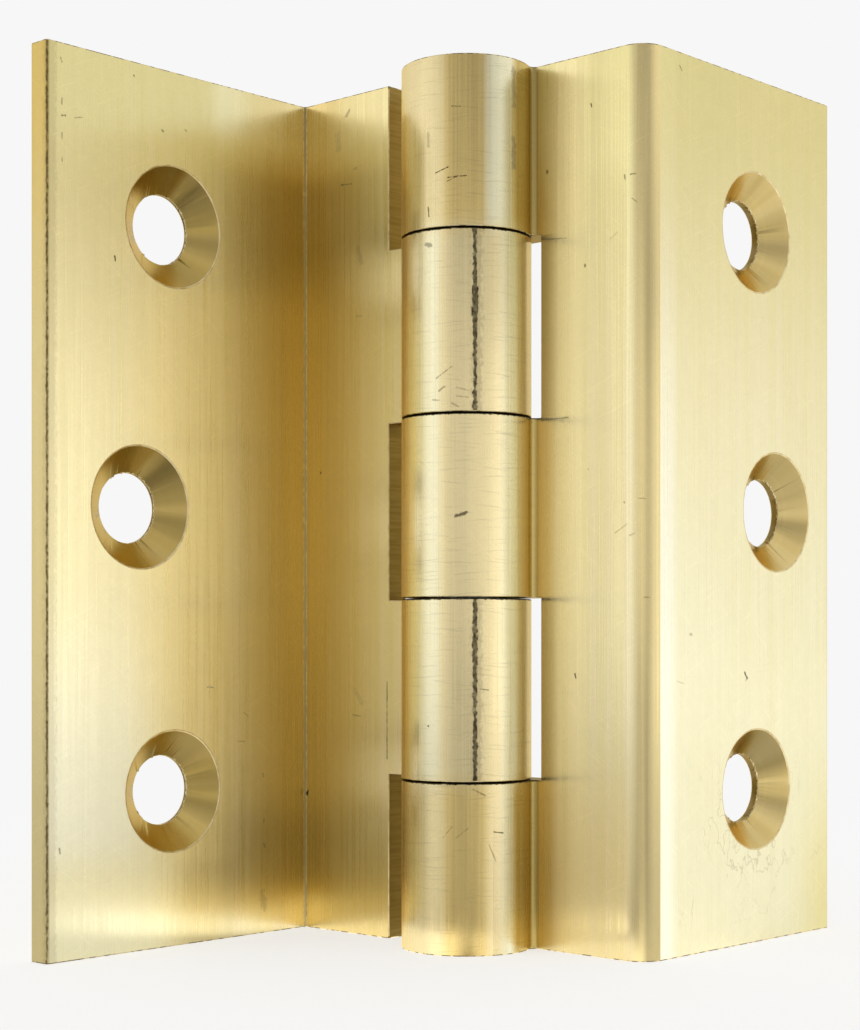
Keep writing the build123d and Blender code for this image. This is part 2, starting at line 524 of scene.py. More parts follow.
# %% Marks of the outer leaf
outer_marks = [
    (2.9, -4.85, 41.0, 4.0, -4.4, 41.8, 0.06, 0.4),
    (3.1, -4.79, 40.1, 3.5, -4.64, 40.4, 0.08, 0.4),
    (2.6, -4.91, 39.5, 3.1, -4.79, 39.45, 0.07, 0.35),
    (4.0, -4.4, 39.2, 4.4, -4.15, 38.95, 0.07, 0.35),
    (4.3, -4.22, 40.3, 4.95, -3.72, 40.1, 0.07, 0.3),
    (4.3, -4.22, 39.7, 4.95, -3.72, 39.6, 0.07, 0.3),
    (2.0, -5.0, 50.6, 2.5, -4.93, 50.5, 0.16, 0.4),
    (-14.2, -20.05, 49.75, -14.2, -20.02, 49.45, 0.09, 0.95),
    (-14.2, -18.34, 63.0, -14.2, -18.3, 62.95, 0.08, 0.7),
    (-14.2, -24.8, 62.9, -14.2, -24.7, 62.6, 0.09, 0.4),
    (-14.2, -24.7, 60.1, -14.2, -24.7, 59.7, 0.08, 0.4),
    (-14.2, -24.7, 58.9, -14.2, -24.4, 58.95, 0.09, 0.5),
    (-14.2, -23.6, 58.95, -14.2, -22.95, 59.1, 0.06, 0.35),
    (-14.2, -24.7, 57.7, -14.2, -24.7, 57.3, 0.08, 0.35),
    (-14.2, -24.7, 56.0, -14.2, -24.7, 55.7, 0.08, 0.35),
    (-14.2, -15.73, 59.55, -14.2, -15.6, 59.45, 0.07, 0.6),
    (-14.2, -13.54, 59.95, -14.2, -13.4, 59.9, 0.07, 0.5),
    (-13.9, -1.35, 10.6, -13.9, -1.35, 10.3, 0.16, 0.95),
    (-5.34, -1.3, 19.3, -5.34, -1.3, 13.5, 0.06, 0.7),
    (2.22, -4.97, 16.3, 2.25, -4.97, 16.28, 0.09, 0.8),
    (5.5, -3.1, 18.95, 5.83, -2.6, 18.88, 0.06, 0.5),
    (-8.7, -1.3, 18.6, -8.0, -1.3, 17.6, 0.25, 0.12),
    (-9.0, -1.3, 16.7, -8.1, -1.3, 16.6, 0.06, 0.4),
    (-10.6, -1.3, 61.2, -10.5, -1.3, 60.1, 0.35, 0.14),
    (-8.4, -1.3, 52.3, -8.05, -1.3, 51.1, 0.3, 0.2),
    (-9.35, -1.3, 62.9, -9.7, -1.3, 62.5, 0.16, 0.3),
    (-10.1, -1.3, 57.31, -9.1, -1.3, 57.24, 0.05, 0.5),
    (-10.15, -1.3, 57.32, -10.05, -1.3, 57.3, 0.1, 0.6),
    (-8.9, -1.3, 58.3, -8.5, -1.3, 58.36, 0.14, 0.25),
    (-8.7, -1.3, 47.1, -8.0, -1.3, 47.02, 0.05, 0.35),
    (-14.2, -5.85, 3.1, -14.2, -5.6, 1.9, 0.35, 0.24),
    (-14.2, -5.66, 6.8, -14.2, -5.6, 6.6, 0.14, 0.35),
    (-14.2, -5.66, 8.7, -14.2, -5.66, 8.5, 0.12, 0.35),
    (-14.2, -5.76, 12.2, -14.2, -5.7, 12.0, 0.12, 0.3),
    (-14.2, -11.4, 18.91, -14.2, -10.7, 18.86, 0.06, 0.45),
    (-14.2, -7.7, 16.9, -14.2, -7.3, 16.6, 0.07, 0.4),
    (-14.2, -8.3, 14.77, -14.2, -7.6, 14.72, 0.06, 0.3),
    (-14.2, -24.9, 7.9, -14.2, -24.85, 7.6, 0.08, 0.5),
]
print("outer leaf marks", len(outer_marks))

# %% [markdown]
# ## Drawn brass
# This is the finish of the flanges, the steps and the barrels. Along the draw the noise runs
# for centimetres, and across it changes several times in a millimetre. The same lines drive
# colour, gloss and a very shallow bump, and the highlight is stretched across them, as it is
# on real drawn metal. On top come level scratches from handling, black in the joints, and a
# ragged dark line that the die left up the barrel.

# %% Drawn finish: where a point lies
pin_place = (pin_axis.x / mm, pin_axis.y / mm)
top_level = hinge_height / mm
half_level = top_level / 2
end_knuckle = 12.3
middle_knuckle = (top_level - 2 * end_knuckle) / 3
joint_levels = [end_knuckle + i * middle_knuckle for i in range(4)]


class Spot:
    """A point of the metal: its place in millimetres, and which part of a leaf it is on."""

    def __init__(self, point, shift):
        self.point = point
        self.x, self.y, self.z = split(point)
        self.flat = from_line(self.x, self.y, pin_place).rise(4.8, 5.5)
        self.barrel = 1 - self.flat
        self.across = (self.x - pin_place[0]) * right.x + (self.y - pin_place[1]) * right.y
        self.middle = self.z.rise(11, 13.5) * self.z.rise(53, 50.5)
        self.cloud = grain(point, (0.12, 0.12, 0.06), 2.0, shift + 4)


print("joints at", [round(level, 2) for level in joint_levels], "mm")


# %% Drawn finish: scratches, joints and the dark line
def scratches(spot, lean, shift):
    """Sparse fine scratches that lean by so many degrees from level."""
    turn = math.radians(lean)
    level = spot.x + spot.y
    along = level * math.cos(turn) + spot.z * math.sin(turn)
    over = spot.z * math.cos(turn) - level * math.sin(turn)
    at = vector(spot.point.bench, along * 0.22, over * 7.0, shift)
    return grain(at, (1.0, 1.0, 1.0), 1.0).rise(0.62, 0.72)


def draw_line(spot, azimuth, width, crackle, drift):
    """Dark ragged line up the barrel, at a bearing from the pin."""
    turn = math.radians(azimuth)
    x, y = spot.x - pin_place[0], spot.y - pin_place[1]
    over = y * math.cos(turn) - x * math.sin(turn)
    out = x * math.cos(turn) + y * math.sin(turn)
    core = (abs(over) + (crackle * 1.6 + drift) * width).rise(width, 0.5 * width)
    halo = (abs(over - 0.6 * width) + crackle * 5.0 * width).rise(2.6 * width, 0.6 * width)
    return (core * (0.85 - 0.8 * crackle)).at_least(halo * 0.25) * (out > 4.3)


def joint_grime(z, crackle):
    """Black in the joints between the knuckles, spilling a little over the lower rims."""
    spill = 0.04
    gap = top_level
    for level in joint_levels:
        gap = abs(z - level + spill).at_most(gap)
    return (gap + crackle * 0.2).rise(0.13, 0.07)


print("scratches, joints and dark line ready")

# %% [markdown]
# ## Tones of the brass: painted light and shade
# Most of these tones are painted light. The corners are painted a deeper gold as shade, the open
# flanges are painted paler towards the foot in uneven patches, the top is painted lemon, and the
# barrel and the rounded corner carry painted highlight bands and painted dark reflection bands.
# Each tone is a share by place and a colour, laid on in order, and each leaf has its own list. A
# second list is painted shade: where the metal is made darker. Places are in millimetres: x and
# y in the plan, z up the hinge.

# %% Tones of the barrel: painted highlights and reflections
# Colours for the brass, most of them used for painted light and shade.
yellow_brass = (0.86, 0.765, 0.42, 1)
rosy_brass = (0.875, 0.765, 0.475, 1)
pale_brass = (0.90, 0.855, 0.59, 1)
bright_brass = (0.98, 0.945, 0.71, 1)
tan_brass = (0.86, 0.71, 0.38, 1)
ochre_brass = (0.82, 0.62, 0.245, 1)
golden_brass = (0.72, 0.545, 0.20, 1)


def left_side(across):
    """1 along the left of the barrel, as the photo shows it."""
    return across.rise(-4.2, -3.4) * across.rise(-1.6, -2.4)


def barrel_tan_and_reflections(spot):
    """Long bands up the barrel, told apart by how far round it they lie: a tan base, painted highlights
    and painted dark reflections.
    """
    across, middle = spot.across, spot.middle
    ends = 1 - middle
    top = spot.z.rise(50.5, 53)
    centre = across.rise(-2.2, -1.2) * across.rise(1.9, 0.9)
    painted_glint = across.rise(2.0, 2.9).at_least(across.rise(0.9, 1.8) * top) * across.rise(3.9, 3.4)
    painted_rim_glint = across.rise(2.8, 3.1) * across.rise(3.75, 3.35)
    # Over the tan: a painted darker centre on the end knuckles, painted pale highlights on the left and
    # on the right, a painted bright rim highlight, and a painted dark gold band at the right edge of the
    # end knuckles.
    bands = [
        (0.85, tan_brass),
        (ends * centre, ochre_brass),
        (middle * left_side(across) * 0.8, pale_brass),
        (painted_glint * 0.9, pale_brass),
        (painted_rim_glint * (1 - 0.6 * top), bright_brass),
        (ends * across.rise(2.95, 3.6), golden_brass),
    ]
    return [(spot.barrel * share, colour) for share, colour in bands]


def barrel_painted_shade(spot):
    """Painted shade on the sides of the two end knuckles."""
    across, z = spot.across, spot.z
    top_side = left_side(across) * z.rise(50.5, 53) * 0.08
    low_side = across.rise(-2.4, -3.2) * z.rise(13.5, 11) * 0.17
    top_root = across.rise(3.3, 3.8) * z.rise(50.5, 53) * 0.1
    return top_side.at_least(low_side).at_least(top_root) * spot.barrel


print("barrel tones ready")

# %% More tones of brass, for painted light and shade
amber_brass = (0.68, 0.49, 0.15, 1)
lemon_brass = (0.84, 0.74, 0.33, 1)
olive_brass = (0.68, 0.555, 0.255, 1)
honey_brass = (0.97, 0.83, 0.43, 1)
sunny_brass = (1.0, 0.93, 0.58, 1)
white_brass = (1.0, 0.985, 0.83, 1)
bend_brass = (1.0, 0.81, 0.385, 1)
root_brass = (0.56, 0.43, 0.15, 1)
print("from", root_brass[:3], "to", white_brass[:3])

# %% Tones of the inner leaf: painted light and shade
inner_bend = (14.3, 4.1)


def painted_corner_gold(spot):
    """Painted shade colour for a corner: a deeper gold, deeper still towards the top."""
    return tint(spot.z.rise(24, 58), golden_brass, amber_brass)


def free_end(spot):
    """Painted shade on the cut free edge: a dull gold, deeper towards the top."""
    return tint(spot.z.rise(40, 62), olive_brass, amber_brass)


def over_bend(spot):
    """Distance across the rounded corner, and 1 on the corner itself."""
    across = (spot.x - inner_bend[0]) * right.x + (spot.y - inner_bend[1]) * right.y
    return across, (spot.x > 13.0) * (spot.y < 5.9)


def inner_painted_tones(spot):
    x, y, z = spot.x, spot.y, spot.z
    painted_pale_flange = x.rise(14.2, 16.0) * z.rise(62, 6) * (0.45 + 0.9 * spot.cloud)
    beside_root = x.rise(7.1, 8.4) * x.rise(11.5, 9.8) * (y < 3.0)
    step_foot = x.rise(6.5, 7.5) * (y < 3.0) * z.rise(18, 6)
    painted_corner_shade = from_line(x, y, (6.2, 2.2)).rise(2.4, 0.5) * (y < 3.4)
    painted_corner_shade = painted_corner_shade * (0.72 + 0.28 * z.rise(20, 4) - 0.6 * z.rise(53, 60))
    across, on_bend = over_bend(spot)
    painted_bend_band = across.rise(-1.0, -0.2) * across.rise(1.24, 1.14) * on_bend
    beside_bend = (x > 15.9) * across.rise(1.2, 1.32) * y.rise(6.4, 4.6) * z.rise(60, 22)
    # Painted light and shade, in order: a lemon top, a paler flange towards the foot, a lemon lower
    # corner, a lighter band beside the root, a darker step foot, a deeper gold in the corner, a darker
    # free edge, the rounded corner's band and a darker root fillet, then a painted white highlight
    # beside the corner.
    return [
        (z.rise(36, 66) * spot.flat * 0.8, lemon_brass),
        (painted_pale_flange.at_most(1.0), pale_brass),
        (y.rise(20, 25.5) * z.rise(16, 2) * 0.7, lemon_brass),
        (beside_root * (0.5 + 0.4 * z.rise(50, 54)), honey_brass),
        (step_foot * 0.45, ochre_brass),
        (painted_corner_shade * 0.95, painted_corner_gold(spot)),
        (y.rise(25.7, 25.9) * 0.9, free_end(spot)),
        (painted_bend_band * 0.95, bend_brass),
        (from_line(x, y, (6.04, 2.12)).rise(0.45, 0.3) * 0.85, root_brass),
        (beside_bend * 0.65, white_brass),
    ]


# Painted shade: the right half of the rounded corner with a fine line on it, the step beside the slots
# as a painted dark reflection of the gap, and the foot of the step by the root.
def inner_painted_shade(spot):
    x, y, z = spot.x, spot.y, spot.z
    across, on_bend = over_bend(spot)
    fine_line = abs(across - 0.2).rise(0.2, 0.06) * 0.2
    right_half = across.rise(-0.2, 0.3) * across.rise(1.24, 1.14)
    bend = right_half.at_least(fine_line) * on_bend
    bend = bend * (0.36 - 0.28 * z.rise(44, 62) + 0.1 * z.rise(16, 4))
    slot_rows = abs(abs(z - half_level) - middle_knuckle) < middle_knuckle / 2
    beside_slot = x.rise(8.6, 6.8) * (x > 6.5) * slot_rows * 0.3
    root_foot = x.rise(9.0, 7.2) * (x > 6.0) * (y < 3.0) * z.rise(13, 5) * 0.12
    return [bend, beside_slot, root_foot]


print("inner leaf tones ready")


# %% Tones of the outer leaf: painted light and shade
outer_face = -14.2
outer_step = -1.3
outer_plate_middle = -15.2


def outer_painted_tones(spot):
    x, y, z = spot.x, spot.y, spot.z
    painted_pale_flange = y.rise(-4.0, -14.5) * z.rise(62, 6) * (0.45 + 0.9 * spot.cloud)
    on_front = (x > outer_plate_middle) * (y < -0.3)
    on_step = (x < -4.0) * (y > outer_step - 0.3) * (y < outer_step + 0.2)
    mid_flange = y.rise(-7, -11) * (1 - 0.55 * y.rise(-15, -20)) * z.rise(58, 50) * on_front
    flange_top = z.rise(58, 61) * on_front * (1 - on_step)
    corner_top = on_step * x.rise(-9, -12) * z.rise(52, 58)
    painted_corner_shade = from_line(x, y, (outer_face, outer_step)).rise(10.5, 2.0) * on_front * 0.95
    painted_corner_shade = painted_corner_shade * (1 - 0.75 * z.rise(57.5, 61)) * (1 - 0.65 * z.rise(3.2, 1.2))
    painted_corner_shade = painted_corner_shade.at_least(on_step * z.rise(12, 3) * 0.8)
    # Painted light and shade, in order: a lemon top, a paler flange towards the foot, honey on the mid
    # flange and the step's top, a bright lower flange, sunny bands at the foot and at the top, honey at
    # the top by the corner, a deeper gold in the corner, ochre at the corner's top and a darker free
    # edge.
    return [
        (z.rise(36, 66) * spot.flat * 0.8, lemon_brass),
        (painted_pale_flange.at_most(1.0), pale_brass),
        (mid_flange.at_least(on_step * z.rise(52, 58) * 0.8), honey_brass),
        (y.rise(-13, -20) * z.rise(30, 8), bright_brass),
        (y.rise(-12, -18) * z.rise(9, 5) * on_front * 0.7, sunny_brass),
        (flange_top * y.rise(-12, -9.5) * y.rise(-5, -9) * 0.7, sunny_brass),
        (flange_top * y.rise(-9, -5) * 0.9, honey_brass),
        (painted_corner_shade, painted_corner_gold(spot)),
        (corner_top * 0.75, ochre_brass),
        (y.rise(-25.7, -25.9) * 0.9, free_end(spot)),
    ]


# Painted shade: bands low and high in the outer corner, and the flange's foot.
def outer_painted_shade(spot):
    x, y, z = spot.x, spot.y, spot.z
    in_front = x > outer_plate_middle
    in_corner = in_front * (x < -4.9) * (y < outer_step + 0.2) * y.rise(-14, -7)
    low = z.rise(12, 6.5) * z.rise(0.8, 4.4) * 0.18
    high = z.rise(47, 53) * z.rise(59, 57) * 0.14
    foot = y.rise(-16, -12.5) * y.rise(-7, -9.5) * z.rise(7, 5) * in_front * 0.14
    return [in_corner * low.at_least(high), foot]


print("outer leaf tones ready")


# %% Drawn finish: light and dirt
def brightness(spot, shift, hair, wide_line):
    """How light the metal is: the die's lines, fine dust, and scratches both ways."""
    point = spot.point
    dust = grain(point, (8.0, 8.0, 8.0), 1.0, shift + 6)
    mottle = grain(point, (1.4, 1.4, 0.9), 2.0, shift + 10)
    rubbed = scratches(spot, 24, shift) + scratches(spot, -38, shift + 3)
    scored = scratches(spot, 3, shift + 5) + scratches(spot, -4, shift + 9) * spot.barrel
    level = 0.86 + (0.05 + 0.03 * spot.barrel) * hair + 0.06 * wide_line
    level = level + 0.08 * dust + 0.06 * mottle + 0.04 * rubbed
    return level - 0.07 * scored * (0.3 + 1.2 * spot.barrel)


def pits_stain_and_grooves(spot, shift, grooves, crackle):
    """Brown darkening: dirt in pits and in a dried stain low down, and darker grooves of the section."""
    point = spot.point
    dirt = pits(point, (0.3, 0.3, 0.22), 0.045, 0.4, shift) * 0.75
    for groove, reach, strength in grooves:
        near = (from_line(spot.x, spot.y, groove) + crackle * reach).rise(reach, 0.4 * reach)
        dirt = (near * strength).at_least(dirt)
    vein = abs(grain(point, (0.5, 0.5, 0.35), 3.0, shift + 12) - 0.5).rise(0.014, 0.004)
    patch = grain(point, (0.15, 0.15, 0.15), 1.0, shift + 14).rise(0.45, 0.6)
    return dirt.at_least(vein * patch * spot.x.rise(15.5, 16.0) * spot.z.rise(15, 10) * 0.22)


print("light and dirt ready")


# %% Drawn finish: the recipe
def drawn_brass(name, shift, tones, painted_shades, bend, grooves, line, marks):
    """A leaf's finish. Grooves have place, reach and strength; the line bearing, width, strength."""
    material, bench, point = finish_bench(name)
    spot = Spot(point, shift)
    hair = grain(point, (6.5, 6.5, 0.05), 2.0, shift).rise(0.25, 0.75)
    wide_line = grain(point, (1.2, 1.2, 0.006), 2.0, shift + 2)
    crackle = grain(point, (5.0, 5.0, 2.6), 2.0, shift + 6) - 0.5
    colour = tint(wide_line.rise(0.35, 0.65), yellow_brass, rosy_brass)
    # Laid on in order: the barrel's tones and the leaf's, most of them painted light and shade.
    for share, tone in barrel_tan_and_reflections(spot) + tones(spot):
        colour = tint(share, colour, tone)
    # The level then takes off the painted shade of the barrel and of the leaf.
    level = brightness(spot, shift, hair, wide_line) - barrel_painted_shade(spot)
    for share in painted_shades(spot):
        level = level * (1 - share)
    dirt = pits_stain_and_grooves(spot, shift, grooves, crackle)
    dark = joint_grime(spot.z, crackle) * spot.barrel
    dark = dark.at_least(strokes(point, marks, crackle * 2))
    drift = grain(point, (0.02, 0.02, 0.3), 1.0, shift + 8) - 0.5
    azimuth, width, strength = line
    dark = (draw_line(spot, azimuth, width, crackle, drift) * strength).at_least(dark)
    colour = tint(dark, tint(dirt, shade(colour, level), grime), soot)
    smooth = 1 - spot.flat * from_line(spot.x, spot.y, bend).rise(1.7, 2.8)
    roughness = 0.23 - 0.06 * smooth + 0.1 * hair + 0.06 * spot.cloud + 0.3 * dark + 0.1 * dirt
    height = 0.3 * hair + wide_line * (2.0 + 8.0 * spot.barrel)
    metal(bench, colour, roughness, height, depth=0.0014, stretch=0.88)
    return material


print("drawn recipe ready")

# %% Drawn finish: one for each leaf
# The grooves darken the inside corner, the free edge with a faint halo, and the barrel's root.
outer_grooves = [
    ((-14.15, -1.35), 0.2, 0.6),
    ((-14.2, -26.0), 0.2, 0.95),
    ((-14.2, -25.7), 0.7, 0.2),
    ((-2.95, -1.25), 0.45, 0.5),
]
inner_line = (2.8, 0.16, 0.12)
outer_line = (-41.1, 0.22, 0.95)
outer_bend = (-14.3, -1.2)
inner_looks = (inner_painted_tones, inner_painted_shade, inner_bend, [], inner_line, inner_marks)
outer_looks = (outer_painted_tones, outer_painted_shade, outer_bend, outer_grooves, outer_line, outer_marks)
inner_drawn = drawn_brass("inner_drawn_brass", 11.0, *inner_looks)
outer_drawn = drawn_brass("outer_drawn_brass", 23.0, *outer_looks)
for finish in (inner_drawn, outer_drawn):
    print(finish.name, "nodes", len(finish.node_tree.nodes))

# %% [markdown]
# ## Cut faces
# The slots are milled, so their faces carry level cutter lines; they are dark, with painted shade
# that lightens towards the top. The ends are sawn. The holes are drilled, and the countersinks
# are turned, with fine rings about each hole's own axis; the light and dark fans that such rings
# show are painted reflections, and each countersink has painted shade on its upper side and
# painted light on its lower side.

# %% Cut finishes: milled and sawn
def milled_brass(name):
    material, bench, point = finish_bench(name)
    _, _, z = split(point)
    lines = grain(point, (0.25, 0.25, 5.0), 2.0, 3.0)
    cloud = grain(point, (0.5, 0.5, 0.5), 1.0, 8.0)
    colour = tint(lines.rise(0.3, 0.7), (0.22, 0.145, 0.035, 1), (0.28, 0.19, 0.055, 1))
    # Painted shade: the slot faces are lighter towards the top and darker towards the foot.
    level = (0.85 + 0.3 * cloud) * (0.78 + 0.55 * z.rise(0, 70))
    metal(bench, shade(colour, level), 0.36 + 0.15 * cloud, lines, depth=0.002)
    return material


def sawn_brass(name):
    material, bench, point = finish_bench(name)
    turned = stretched(point, (0.8, 0.6, 0.0))
    lines = grain(turned, (4.0, 0.4, 0.4), 2.0, 5.0)
    cloud = grain(point, (0.4, 0.4, 0.4), 1.0, 2.0)
    colour = tint(lines.rise(0.3, 0.7), (0.70, 0.57, 0.27, 1), (0.84, 0.72, 0.40, 1))
    metal(bench, shade(colour, 0.85 + 0.3 * cloud), 0.26 + 0.2 * cloud, lines, depth=0.004)
    return material


print("milled and sawn finishes ready")


# %% Cut finishes: turned
def turned_brass(name, holes, light, dark, painted_shade_range=(0.0, 0.0), lean=0.0, glow=0.0):
    material, bench, point = finish_bench(name)
    x, y, z = split(point)
    radius, side, up = 50.0, 0.0, 0.0
    for hole_y, hole_z in holes:
        gap = ((y - hole_y) ** 2 + (z - hole_z) ** 2) ** 0.5
        here = gap < 6
        radius = gap.at_most(radius)
        side = side + here * (y - hole_y) / gap
        up = up + here * (z - hole_z) / gap
    rings = grain(vector(bench, radius, x), (4.0, 2.0, 1.0), 2.0, 1.0)
    # The fans are painted reflection: the light and dark that turned rings show.
    fans = grain(vector(bench, side * 1.8, up * 1.8, z * 0.04), (1.0, 1.0, 1.0), 2.0, 6.0)
    colour = tint(fans.rise(0.25, 0.75), dark, light)
    # Painted shade on the upper side of each countersink, deeper lower on the leaf, and painted light on
    # its lower side by the share glow.
    low_shade, high_shade = painted_shade_range
    climb = (high_shade - low_shade) * mm / hinge_height
    painted_shade = (side * lean + up).rise(0.45, 0.9) * (low_shade + climb * z)
    painted_light = (side * 0.9 - up * 0.4).rise(0.5, 0.95) * glow
    level = (0.86 + 0.14 * rings + 0.14 * fans) * (1 - painted_shade) * (1 + painted_light)
    metal(bench, shade(colour, level), 0.22 + 0.1 * fans, rings, depth=0.0012)
    return material


print("turned finish ready")

# %% Cut finishes: the holes
hole_pitch = 41.3 / 2
inner_end_hole, inner_middle_hole = 16.0, 18.7
outer_end_hole, outer_middle_hole = -14.6, -17.7


def hole_places(end_y, middle_y):
    """The three holes of a flange, from the foot up."""
    return [(end_y, half_level - hole_pitch), (middle_y, half_level), (end_y, half_level + hole_pitch)]


inner_holes = hole_places(inner_end_hole, inner_middle_hole)
outer_holes = hole_places(outer_end_hole, outer_middle_hole)
pale_turned = (0.68, 0.53, 0.235, 1)
deep_turned = (0.57, 0.43, 0.16, 1)
warm_turned = (0.64, 0.47, 0.16, 1)
brown_turned = (0.52, 0.37, 0.105, 1)
pale_drilled = (0.30, 0.21, 0.08, 1)
deep_drilled = (0.2, 0.14, 0.05, 1)
inner_sunk = turned_brass(
    "inner_turned_brass", inner_holes, pale_turned, deep_turned, (0.68, 0.0), lean=0.45, glow=0.2
)
outer_sunk = turned_brass(
    "outer_turned_brass", outer_holes, warm_turned, brown_turned, (0.62, 0.45), lean=0.12, glow=0.1
)
drilled_finish = turned_brass("drilled_brass", inner_holes + outer_holes, pale_drilled, deep_drilled)
milled_finish = milled_brass("milled_brass")
sawn_finish = sawn_brass("sawn_brass")
cut_finishes = [sawn_finish, milled_finish, milled_finish, drilled_finish]
inner_finishes = [inner_drawn, *cut_finishes, inner_sunk]
outer_finishes = [outer_drawn, *cut_finishes, outer_sunk]
print("finishes for each leaf", len(inner_finishes))

# %% [markdown]
# ## Broken edges
# No edge on the real hinge is a perfect line: each was rubbed over after cutting, and the
# narrow band that this leaves catches the light. A two-step bevel on every outward edge gives
# that band its own geometry and its own brighter finish.

# %% Rubbed edges
def rubbed_brass(name):
    material, bench, point = finish_bench(name)
    x, y, z = split(point)
    on_barrel = from_line(x, y, pin_place).rise(5.6, 5.2)
    worn = grain(point, (1.6, 1.6, 1.6), 3.0, 9.0)
    ends = z.rise(0.3, 0.15) + z.rise(top_level - 0.3, top_level - 0.15)
    chipped = (0.26 + 0.26 * ends - worn).rise(-0.02, 0.05)
    colour = tint(worn.rise(0.35, 0.6), (0.62, 0.49, 0.24, 1), (0.78, 0.66, 0.38, 1))
    colour = tint(chipped * 0.9, colour, grime)
    colour = tint(joint_grime(z, worn - 0.5) * on_barrel, colour, soot)
    metal(bench, colour, 0.3 + 0.25 * worn, worn, depth=0.006)
    return material


edge_finish = rubbed_brass("rubbed_brass")
print("edge finish nodes", len(edge_finish.node_tree.nodes))

# %% Breaking the edges
sharp_angle = math.radians(30)
still_smooth = 1.6 * sharp_angle


def break_edges(mesh, width, finish):
    """Bevels the outward edges of a mesh and gives the bands a finish of their own."""
    mesh.materials.append(finish)
    shape = bmesh.new()
    shape.from_mesh(mesh)
    outward = [e for e in shape.edges if e.is_convex and e.calc_face_angle() > sharp_angle]
    bmesh.ops.bevel(
        shape,
        geom=outward,
        offset=width,
        offset_type="OFFSET",
        segments=2,
        profile=0.5,
        affect="EDGES",
        clamp_overlap=False,
        material=len(mesh.materials) - 1,
    )
    for edge in shape.edges:
        edge.smooth = edge.calc_face_angle(0.0) < still_smooth
    for face in shape.faces:
        face.smooth = True
    shape.to_mesh(mesh)
    shape.free()
    return len(outward)


print("edges are broken from", round(sharp_angle, 3), "radians")


# %% Making a leaf
def put(name, data):
    """A new object in the scene, at the origin."""
    piece = bpy.data.objects.new(name, data)
    bpy.context.scene.collection.objects.link(piece)
    return piece


def plain_mesh(piece):
    """The piece's mesh with its modifiers applied and removed."""
    graph = bpy.context.evaluated_depsgraph_get()
    solid = bpy.data.meshes.new_from_object(piece.evaluated_get(graph), depsgraph=graph)
    piece.modifiers.clear()
    piece.data = solid


def make_leaf(name, plan_points, finishes, settings):
    mesh = bpy.data.meshes.new(name)
    corners = [(pin_axis.x + x * mm, pin_axis.y + y * mm, 0) for x, y in plan_points]
    mesh.from_pydata(corners, [], [range(len(corners))])
    for finish in finishes:
        mesh.materials.append(finish)
    piece = put(name, mesh)
    modifier = piece.modifiers.new("cut", "NODES")
    modifier.node_group = leaf_tree
    for key, value in (settings | dict(zip(tool_names, finishes))).items():
        modifier[leaf_inputs[key]] = value
    plain_mesh(piece)
    cut_faces = len(piece.data.polygons)
    broken = break_edges(piece.data, edge_width * mm, edge_finish)
    normals = piece.modifiers.new("even_normals", "WEIGHTED_NORMAL")
    normals.keep_sharp = True
    plain_mesh(piece)
    print(name, cut_faces, "faces cut,", broken, "edges broken,", len(piece.data.polygons), "faces")
    return piece


edge_width = 0.08
print("edge bands", edge_width, "mm wide")

# %% [markdown]
# ## Two leaves from one recipe
# The inner leaf has slots for two knuckles and grips the pin. The outer leaf has three, and runs
# on it. All sizes are the CAD's, but the joints are closed to a hair, so that no light shows.

# %% Two leaves
joint_width = 0.1
pin_radius = 2.4
running_clearance = 0.05
inner_face = 16.1
inner_slot_edge = 4.92
outer_slot_edge = 6.85
slot_far_edge = 9.5
hole_radius = 2.55
sink_rim = 4.45
sink_half_angle = 50


def leaf_sizes(side, slot_count, slot_edge, bore, face, end_hole, middle_hole):
    """Sizes for the leaf tree, in metres, with the flange to side 1 or -1 of the pin."""
    sizes = {
        "Bore Radius": bore,
        "Slot Width": slot_edge + slot_far_edge,
        "Slot Height": middle_knuckle + joint_width,
        "Slot Pitch": 2 * middle_knuckle,
        "Face X": face,
        "End Hole Y": end_hole,
        "Middle Hole Y": middle_hole,
        "Hole Pitch": hole_pitch,
        "Hole Radius": hole_radius,
        "Sink Radius": sink_rim,
    }
    sizes = {name: size * mm for name, size in sizes.items()}
    sizes |= {"Height": hinge_height, "Pin X": pin_axis.x, "Pin Y": pin_axis.y, "Slot Count": slot_count}
    sizes["Slot Middle X"] = pin_axis.x + side * (slot_edge - slot_far_edge) / 2 * mm
    sizes["Sink Slope"] = math.tan(math.radians(sink_half_angle))
    return sizes


inner_slots, outer_slots = 2, 3
inner_sizes = leaf_sizes(
    1, inner_slots, inner_slot_edge, pin_radius, inner_face, inner_end_hole, inner_middle_hole
)
outer_bore = pin_radius + running_clearance
outer_sizes = leaf_sizes(
    -1, outer_slots, outer_slot_edge, outer_bore, outer_face, outer_end_hole, outer_middle_hole
)
inner = make_leaf("inner_leaf_brass", inner_plan, inner_finishes, inner_sizes)
outer = make_leaf("outer_leaf_brass", outer_plan, outer_finishes, outer_sizes)
for piece, node, body in ((inner, "inner_leaf", "fixed_leaf"), (outer, "outer_leaf", "swinging_leaf")):
    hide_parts(node)
    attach(piece, body)

# %% [markdown]
# ## The steel pin
# Only the pin's two ends show, in the middle of the barrel's ends, and a thread of it in the
# joints. Its CAD solid is already right, so it keeps its mesh and only gets a finish: cropped
# steel with turned rings on the ends, and fine lines along the shank.

# %% Pin finish
no_tint = (1, 1, 1, 1)


